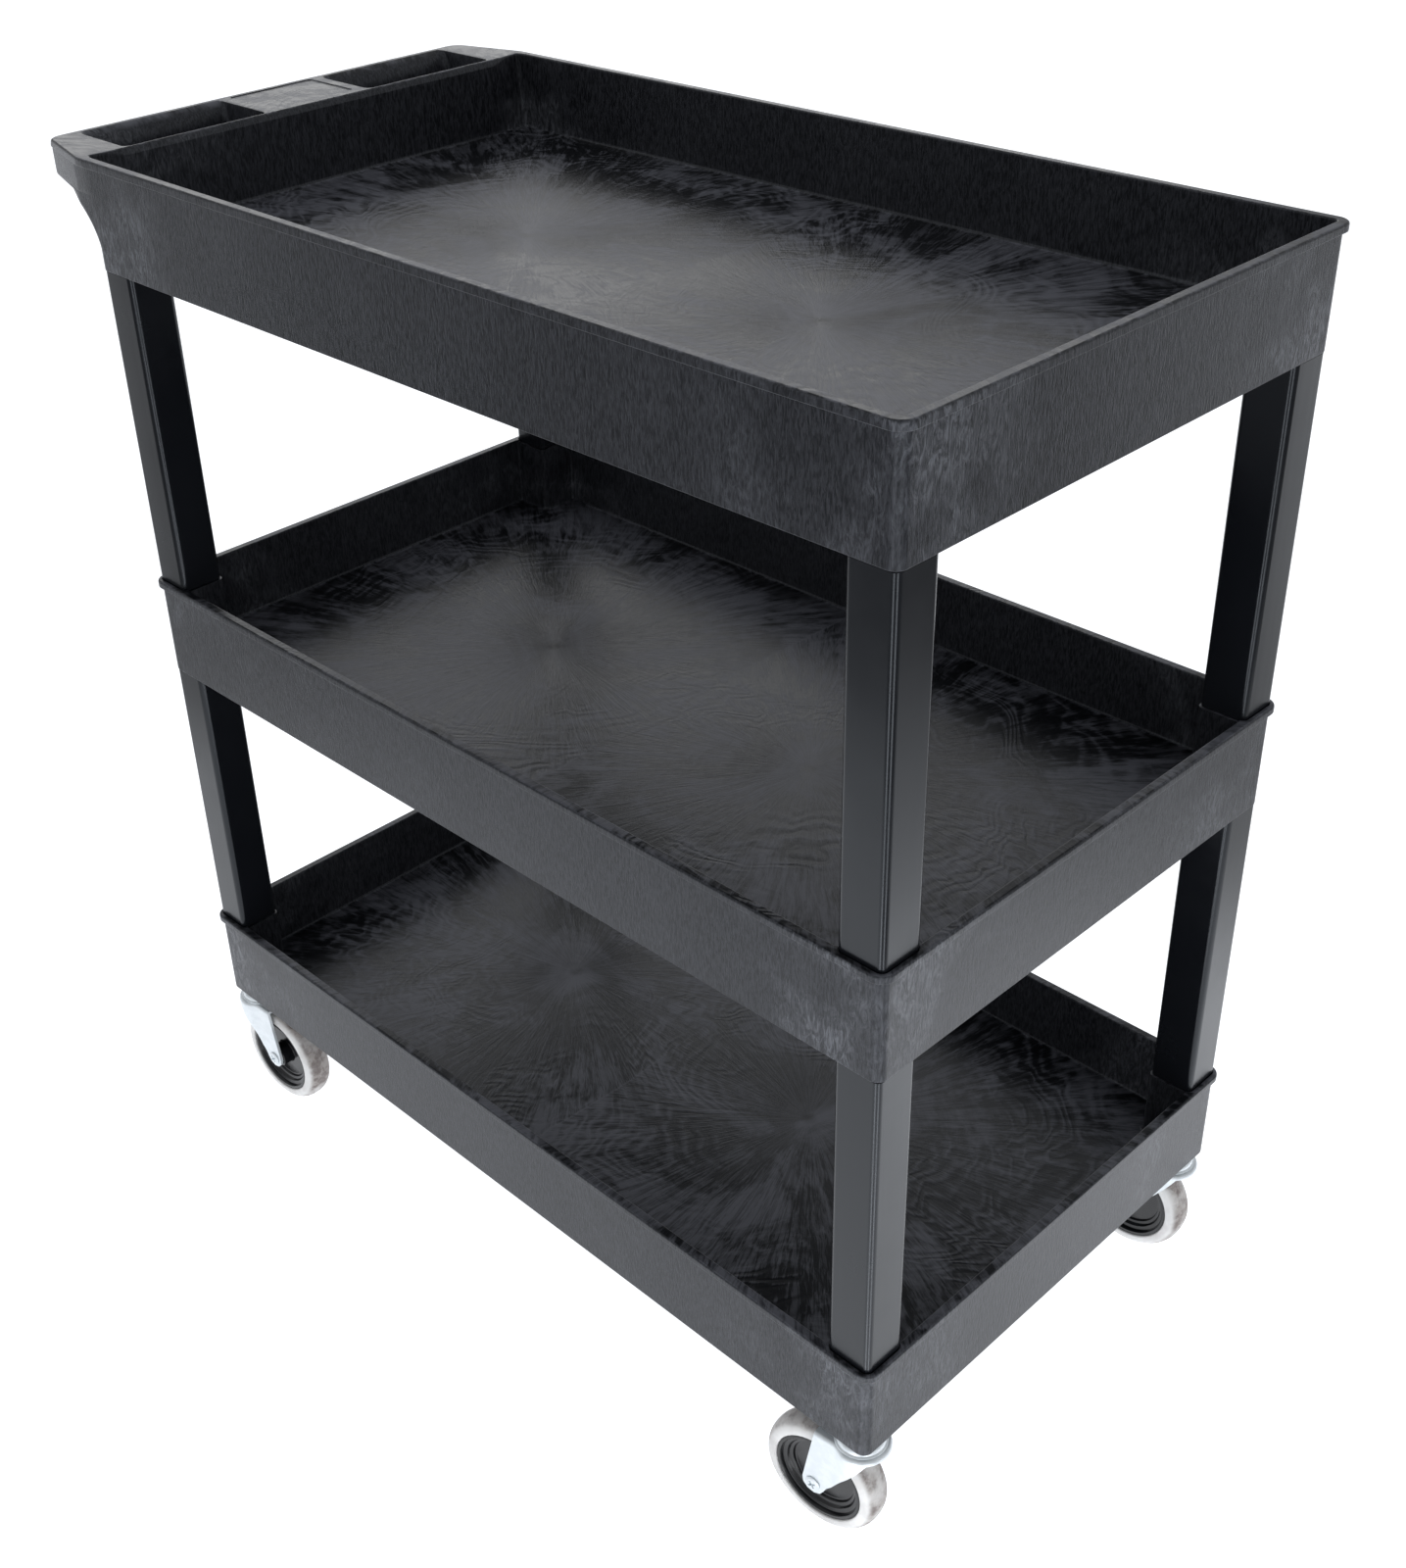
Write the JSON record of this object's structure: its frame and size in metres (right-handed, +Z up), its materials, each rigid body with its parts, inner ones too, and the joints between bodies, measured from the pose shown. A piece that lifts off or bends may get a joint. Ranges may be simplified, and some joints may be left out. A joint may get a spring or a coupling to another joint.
{
  "type": "tool cart",
  "caption": "Open utility cart with deep moulded shelf trays on square legs, a moulded push handle with hand holes, and swivel casters.",
  "frame": {"origin": "on the floor under the middle of the cart's bounding box", "axes": "+X to the front, away from the push handle; +Y to the left; +Z up"},
  "size_m": [0.8954, 0.4575, 0.9223],
  "materials": {
    "tray": "black structural-foam moulding with cloudy grey flow marks and a fine grain",
    "leg": "smooth satin dark grey extrusion",
    "socket": "plain black moulding",
    "zinc": "bright zinc plate with a bluish cast",
    "steel": "plain turned steel",
    "hub": "glossy black moulding",
    "tread": "light grey thermoplastic rubber with brown scuffs"
  },
  "bodies": {
    "cart": {"top_tray": "tray", "middle_tray": "tray", "bottom_tray": "tray", "upper_leg_front_right": "leg", "upper_leg_front_left": "leg", "upper_leg_rear_right": "leg", "upper_leg_rear_left": "leg", "lower_leg_front_right": "leg", "lower_leg_front_left": "leg", "lower_leg_rear_right": "leg", "lower_leg_rear_left": "leg", "caster_socket_front_right": "socket", "caster_stem_front_right": "steel", "caster_raceway_front_right": "zinc", "caster_ball_race_front_right": "steel", "caster_socket_front_left": "socket", "caster_stem_front_left": "steel", "caster_raceway_front_left": "zinc", "caster_ball_race_front_left": "steel", "caster_socket_rear_right": "socket", "caster_stem_rear_right": "steel", "caster_raceway_rear_right": "zinc", "caster_ball_race_rear_right": "steel", "caster_socket_rear_left": "socket", "caster_stem_rear_left": "steel", "caster_raceway_rear_left": "zinc", "caster_ball_race_rear_left": "steel"},
    "swivel_front_right": {"caster_fork_front_right": "zinc", "axle_bolt_front_right": "zinc", "axle_nut_front_right": "zinc", "axle_sleeve_front_right": "steel"},
    "wheel_front_right": {"wheel_hub_front_right": "hub", "wheel_tread_front_right": "tread"},
    "swivel_front_left": {"caster_fork_front_left": "zinc", "axle_bolt_front_left": "zinc", "axle_nut_front_left": "zinc", "axle_sleeve_front_left": "steel"},
    "wheel_front_left": {"wheel_hub_front_left": "hub", "wheel_tread_front_left": "tread"},
    "swivel_rear_right": {"caster_fork_rear_right": "zinc", "axle_bolt_rear_right": "zinc", "axle_nut_rear_right": "zinc", "axle_sleeve_rear_right": "steel"},
    "wheel_rear_right": {"wheel_hub_rear_right": "hub", "wheel_tread_rear_right": "tread"},
    "swivel_rear_left": {"caster_fork_rear_left": "zinc", "axle_bolt_rear_left": "zinc", "axle_nut_rear_left": "zinc", "axle_sleeve_rear_left": "steel"},
    "wheel_rear_left": {"wheel_hub_rear_left": "hub", "wheel_tread_rear_left": "tread"}
  },
  "joints": [
    {"name": "swivel_front_right", "type": "hinge", "parent": "cart", "child": "swivel_front_right", "pos_m": [0.42402, -0.20465, 0.1074], "axis": [0, 0, 1], "continuous": true},
    {"name": "roll_front_right", "type": "hinge", "parent": "swivel_front_right", "child": "wheel_front_right", "pos_m": [0.39419, -0.20779, 0.0508], "axis": [0.1045, -0.9945, 0], "continuous": true},
    {"name": "swivel_front_left", "type": "hinge", "parent": "cart", "child": "swivel_front_left", "pos_m": [0.42402, 0.20465, 0.1074], "axis": [0, 0, 1], "continuous": true},
    {"name": "roll_front_left", "type": "hinge", "parent": "swivel_front_left", "child": "wheel_front_left", "pos_m": [0.39407, 0.20308, 0.0508], "axis": [0.0523, -0.9986, 0], "continuous": true},
    {"name": "swivel_rear_right", "type": "hinge", "parent": "cart", "child": "swivel_rear_right", "pos_m": [-0.34627, -0.20465, 0.1074], "axis": [0, 0, 1], "continuous": true},
    {"name": "roll_rear_right", "type": "hinge", "parent": "swivel_rear_right", "child": "wheel_rear_right", "pos_m": [-0.31632, -0.20308, 0.0508], "axis": [-0.0523, 0.9986, 0], "continuous": true},
    {"name": "swivel_rear_left", "type": "hinge", "parent": "cart", "child": "swivel_rear_left", "pos_m": [-0.34627, 0.20465, 0.1074], "axis": [0, 0, 1], "continuous": true},
    {"name": "roll_rear_left", "type": "hinge", "parent": "swivel_rear_left", "child": "wheel_rear_left", "pos_m": [-0.31635, 0.20256, 0.0508], "axis": [0.0698, 0.9976, 0], "continuous": true}
  ]
}
